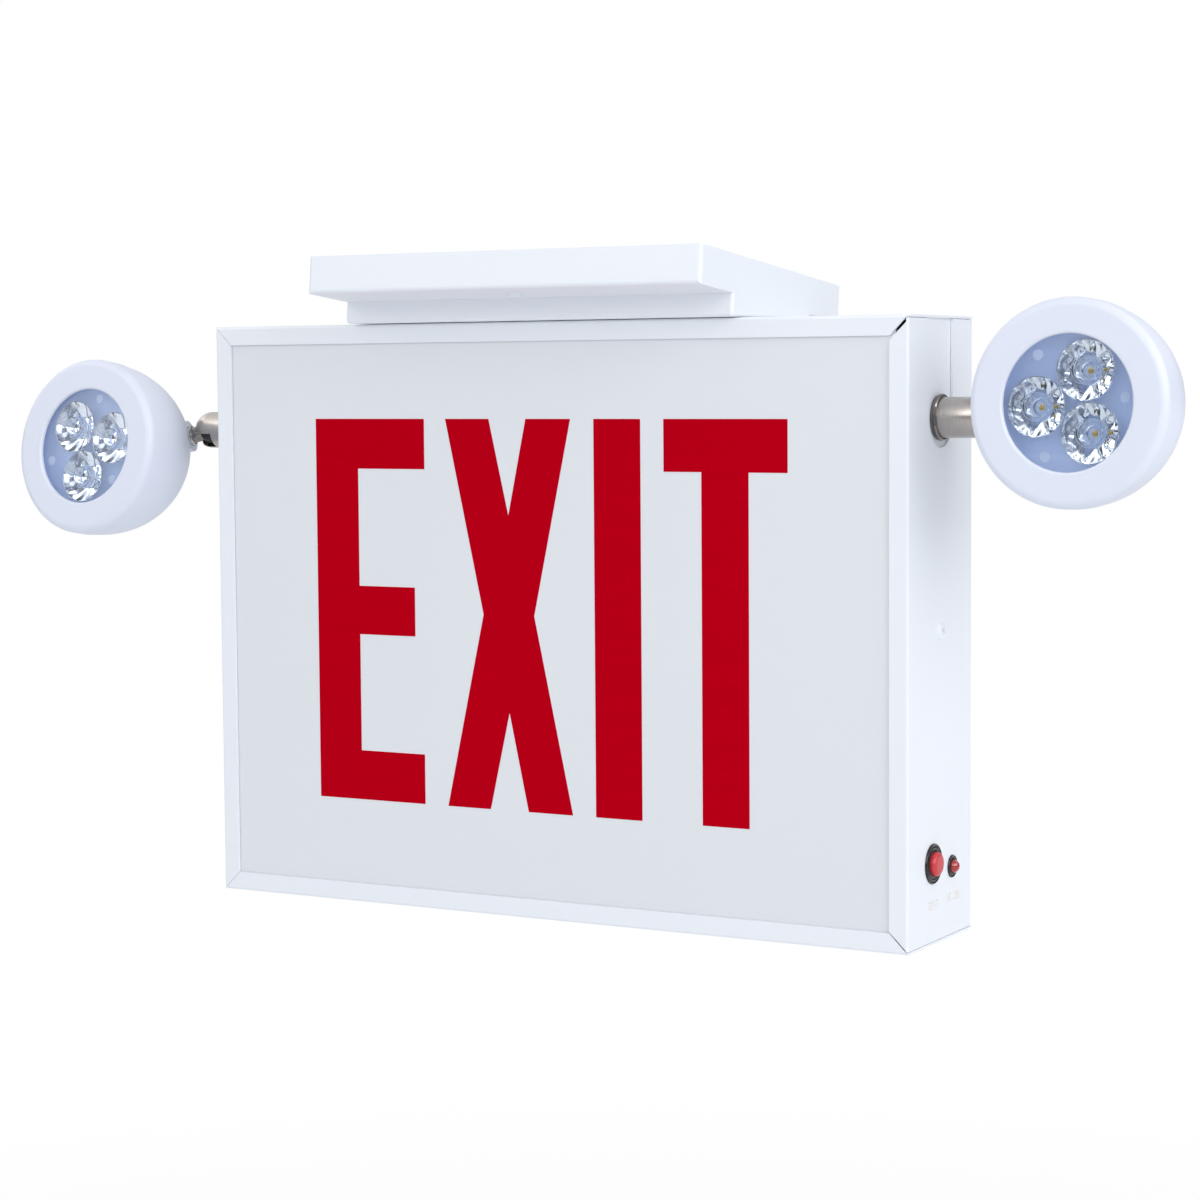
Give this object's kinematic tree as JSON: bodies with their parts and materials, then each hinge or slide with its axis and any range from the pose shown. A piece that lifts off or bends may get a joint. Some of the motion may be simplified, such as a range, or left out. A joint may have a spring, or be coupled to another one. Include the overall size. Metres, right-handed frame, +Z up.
{
  "type": "emergency exit light",
  "caption": "Box-shaped steel exit sign hung from a small ceiling canopy, with an adjustable round emergency lamp on a swivel neck at each end.",
  "frame": {"origin": "centre of the housing's flat underside", "axes": "+Z up towards the canopy, +X to the right of someone reading the sign, -Y towards the reader"},
  "size_m": [0.6743, 0.159, 0.3425],
  "materials": {
    "housing_paint": "smooth cool white powder coat",
    "panel_paint": "smooth light grey-white, red legend",
    "zinc_steel": "zinc-plated sheet steel",
    "button_red": "coral red moulded cap",
    "black_trim": "black moulded ring",
    "indicator_red": "dark red clear plastic, unlit",
    "board_green": "green circuit board",
    "switch_black": "black switch body",
    "battery_sleeve": "shrink sleeve",
    "screw_steel": "zinc-plated screw steel",
    "brushed_nickel": "brushed nickel-plated tube",
    "bright_nickel": "polished nickel plate",
    "lamp_paint": "smooth cool white paint on cast aluminium",
    "lens_clear": "clear bluish lens",
    "optic_clear": "clear moulded optics",
    "chip_yellow": "yellow phosphor",
    "plate_grey": "bluish grey light board"
  },
  "bodies": {
    "housing": {"housing_frame": "housing_paint", "end_cover": "housing_paint", "end_bracket": "zinc_steel", "legend_panel": "panel_paint", "back_panel": "housing_paint", "end_cover_screw": "housing_paint", "test_button_ring": "black_trim", "indicator_ring": "black_trim", "indicator_lamp": "indicator_red", "control_board": "board_green", "test_switch": "switch_black", "battery_pack": "battery_sleeve", "battery_strap": "zinc_steel", "legend_light_strips": "board_green", "canopy": "housing_paint", "canopy_bar": "zinc_steel", "canopy_screws": "screw_steel", "canopy_nipple": "zinc_steel", "canopy_nipple_nuts": "zinc_steel", "neck_flange_left": "bright_nickel", "neck_flange_right": "bright_nickel"},
    "button": {"test_button": "button_red"},
    "neck_left": {"neck_tube_left": "brushed_nickel", "neck_nut_left": "zinc_steel"},
    "head_left": {"swivel_post_left": "bright_nickel", "post_nut_left": "bright_nickel", "seat_collar_left": "lamp_paint", "lamp_bezel_left": "lamp_paint", "lamp_bowl_left": "lamp_paint", "lamp_lens_left": "lens_clear", "lamp_optics_left": "optic_clear", "lamp_chips_left": "chip_yellow", "lamp_plate_left": "plate_grey"},
    "neck_right": {"neck_tube_right": "brushed_nickel", "neck_nut_right": "zinc_steel"},
    "head_right": {"swivel_post_right": "bright_nickel", "post_nut_right": "bright_nickel", "seat_collar_right": "lamp_paint", "lamp_bezel_right": "lamp_paint", "lamp_bowl_right": "lamp_paint", "lamp_lens_right": "lens_clear", "lamp_optics_right": "optic_clear", "lamp_chips_right": "chip_yellow", "lamp_plate_right": "plate_grey"}
  },
  "joints": [
    {"name": "left_neck_turn", "type": "hinge", "parent": "housing", "child": "neck_left", "pos_m": [-0.2366, 0, 0.2515], "axis": [1, 0, 0], "range_deg": [-170, 170]},
    {"name": "left_head_tilt", "type": "hinge", "parent": "neck_left", "child": "head_left", "pos_m": [-0.2366, 0, 0.2515], "axis": [0, 0.647, -0.7625], "range_deg": [-30, 21]},
    {"name": "right_neck_turn", "type": "hinge", "parent": "housing", "child": "neck_right", "pos_m": [0.2366, 0, 0.2585], "axis": [1, 0, 0], "range_deg": [-170, 170]},
    {"name": "right_head_tilt", "type": "hinge", "parent": "neck_right", "child": "head_right", "pos_m": [0.2366, 0, 0.2585], "axis": [0, 0.3118, 0.9501], "range_deg": [-30, 19]},
    {"name": "test_button_press", "type": "slide", "parent": "housing", "child": "button", "axis": [-1, 0, 0], "range_m": [0, 0.002], "stiffness_N_per_m": 400, "springref_m": -0.001}
  ]
}
